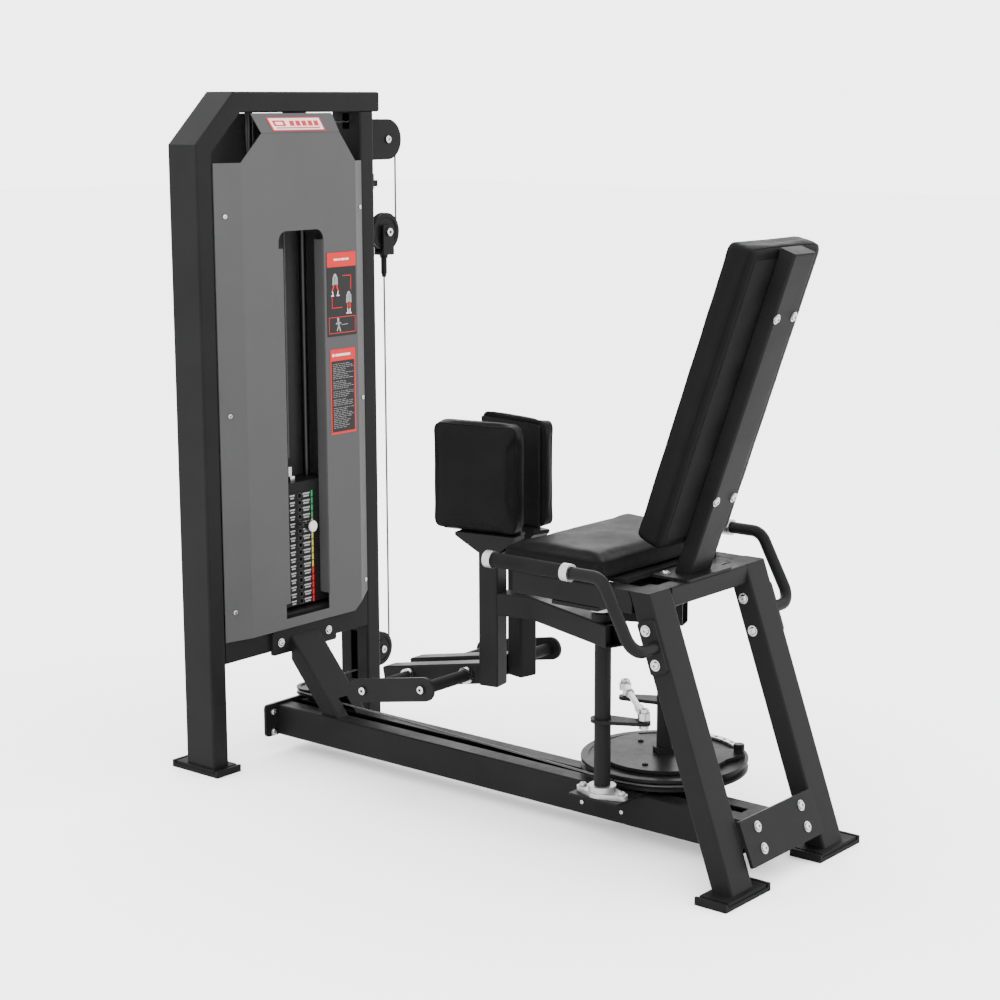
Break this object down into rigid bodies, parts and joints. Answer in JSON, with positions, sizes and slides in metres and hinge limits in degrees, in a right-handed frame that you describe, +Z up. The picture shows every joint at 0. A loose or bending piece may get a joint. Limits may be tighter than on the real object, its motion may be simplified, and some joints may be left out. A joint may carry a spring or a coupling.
{
  "type": "hip abductor machine",
  "caption": "Seated hip machine: two coupled swinging arms with thigh pads and foot rests, a cable and pulleys to a pin-selected weight stack, padded seat and raked backrest.",
  "frame": {"origin": "middle of the footprint on the floor", "axes": "+X is the user's right, +Y from the seat towards the weight tower, +Z up"},
  "size_m": [0.76, 1.6204, 1.665],
  "materials": {
    "frame_paint": "satin black powder coat",
    "shroud_paint": "fine textured grey powder coat",
    "bright_steel": "zinc plated and polished",
    "plate_iron": "semi-matt",
    "cable_steel": "black coated steel cable",
    "rubber": "matt moulded",
    "vinyl": "soft grained vinyl",
    "pulley_plastic": "moulded",
    "label": "printed film"
  },
  "bodies": {
    "root": {"base_beam": "frame_paint", "base_end_plates": "frame_paint", "rear_legs": "frame_paint", "tower_left_upright": "frame_paint", "tower_top_beam": "frame_paint", "tower_right_upright": "frame_paint", "tower_crossbar": "frame_paint", "diagonal_brace": "frame_paint", "bearing_plates": "frame_paint", "seat_frame": "frame_paint", "seat_base_plate": "frame_paint", "backrest_tube": "frame_paint", "side_handles": "frame_paint", "pulley_brackets": "frame_paint", "front_shroud": "shroud_paint", "rear_shroud": "shroud_paint", "guide_rods": "bright_steel", "flange_bearings": "bright_steel", "handle_collars": "bright_steel", "frame_bolts": "bright_steel", "pulley_axles": "bright_steel", "resting_plates": "plate_iron", "fixed_cable_runs": "cable_steel", "stack_cable_run": "cable_steel", "floating_cable_runs": "cable_steel", "drive_cable_run": "cable_steel", "foot_shoes": "rubber", "handle_grips": "rubber", "seat_cushion": "vinyl", "backrest_pad": "vinyl", "label_plates": "label"},
    "left_arm": {"left_arm_shaft": "frame_paint", "left_arm_tube": "frame_paint", "left_pad_plate": "frame_paint", "left_pad": "vinyl", "left_foot_rest": "frame_paint", "left_foot_pegs": "rubber"},
    "right_arm": {"right_arm_shaft": "frame_paint", "right_arm_tube": "frame_paint", "right_pad_plate": "frame_paint", "right_pad": "vinyl", "right_foot_rest": "frame_paint", "right_foot_pegs": "rubber", "start_plate": "frame_paint"},
    "tie_rod": {"tie_rod": "bright_steel"},
    "start_pin": {"start_pin": "pulley_plastic"},
    "cam_disc": {"cam_disc": "frame_paint", "index_arc": "bright_steel", "disc_cable_end": "cable_steel"},
    "floating_block": {"floating_strap": "frame_paint", "floating_turnbuckle": "frame_paint"},
    "floating_wheel": {"floating_pulley": "pulley_plastic"},
    "lifted_stack": {"lifted_plates": "plate_iron", "top_plate": "plate_iron", "selector_stem": "bright_steel"},
    "selector_pin": {"selector_pin": "bright_steel"},
    "outer_top_wheel": {"outer_top_pulley": "pulley_plastic"},
    "stack_wheel": {"stack_pulley": "pulley_plastic"},
    "foot_wheel": {"foot_pulley": "pulley_plastic"},
    "base_wheel": {"base_pulley": "pulley_plastic"}
  },
  "joints": [
    {"name": "arm_swing", "type": "hinge", "parent": "root", "child": "left_arm", "pos_m": [-0.174, -0.37975, 0.5], "axis": [0, 0, 1], "range_deg": [0, 45]},
    {"name": "right_arm_swing", "type": "hinge", "parent": "root", "child": "right_arm", "pos_m": [0.066, -0.37975, 0.5], "axis": [0, 0, 1], "range_deg": [-45, 0]},
    {"name": "tie_rod_pivot", "type": "hinge", "parent": "left_arm", "child": "tie_rod", "pos_m": [-0.139, -0.46675, 0.312], "axis": [0, 0, 1], "range_deg": [-59, 0]},
    {"name": "start_pin_pull", "type": "slide", "parent": "right_arm", "child": "start_pin", "axis": [0, 0, 1], "range_m": [0, 0.01], "stiffness_N_per_m": 400},
    {"name": "cam_turn", "type": "hinge", "parent": "root", "child": "cam_disc", "pos_m": [0.066, -0.37975, 0.145], "axis": [0, 0, 1], "range_deg": [0, 45]},
    {"name": "floating_slide", "type": "slide", "parent": "root", "child": "floating_block", "axis": [0, 0, -1], "range_m": [0, 0.148], "deforming": ["floating_cable_runs", "drive_cable_run"]},
    {"name": "floating_wheel_spin", "type": "hinge", "parent": "floating_block", "child": "floating_wheel", "pos_m": [0.328, 0.71625, 1.3045], "axis": [0, 1, 0], "range_deg": [0, 183]},
    {"name": "stack_lift", "type": "slide", "parent": "root", "child": "lifted_stack", "axis": [0, 0, 1], "range_m": [0, 0.294], "deforming": ["stack_cable_run"]},
    {"name": "selector_pull", "type": "slide", "parent": "lifted_stack", "child": "selector_pin", "axis": [0, -1, 0], "range_m": [0, 0.06]},
    {"name": "outer_top_wheel_spin", "type": "hinge", "parent": "root", "child": "outer_top_wheel", "pos_m": [0.328, 0.71625, 1.544], "axis": [0, 1, 0], "range_deg": [0, 366]},
    {"name": "stack_wheel_spin", "type": "hinge", "parent": "root", "child": "stack_wheel", "pos_m": [0.0045, 0.71625, 1.544], "axis": [0, 1, 0], "range_deg": [0, 366]},
    {"name": "foot_wheel_spin", "type": "hinge", "parent": "root", "child": "foot_wheel", "pos_m": [0.284, 0.71625, 0.185], "axis": [0, 1, 0], "range_deg": [0, 201]},
    {"name": "base_wheel_spin", "type": "hinge", "parent": "root", "child": "base_wheel", "pos_m": [-0.008, 0.67425, 0.143], "axis": [0, 0, 1], "range_deg": [0, 201]}
  ],
  "couplings": [
    {"joint": "right_arm_swing", "follows": "arm_swing", "ratio": -1},
    {"joint": "tie_rod_pivot", "follows": "arm_swing", "ratio": -1.29},
    {"joint": "floating_slide", "follows": "cam_turn", "m_per_rad": 0.186},
    {"joint": "stack_lift", "follows": "cam_turn", "m_per_rad": 0.372},
    {"joint": "floating_wheel_spin", "follows": "cam_turn", "ratio": 4.043},
    {"joint": "outer_top_wheel_spin", "follows": "cam_turn", "ratio": 8.087},
    {"joint": "stack_wheel_spin", "follows": "cam_turn", "ratio": 8.087},
    {"joint": "foot_wheel_spin", "follows": "cam_turn", "ratio": 4.429},
    {"joint": "base_wheel_spin", "follows": "cam_turn", "ratio": 4.429}
  ]
}
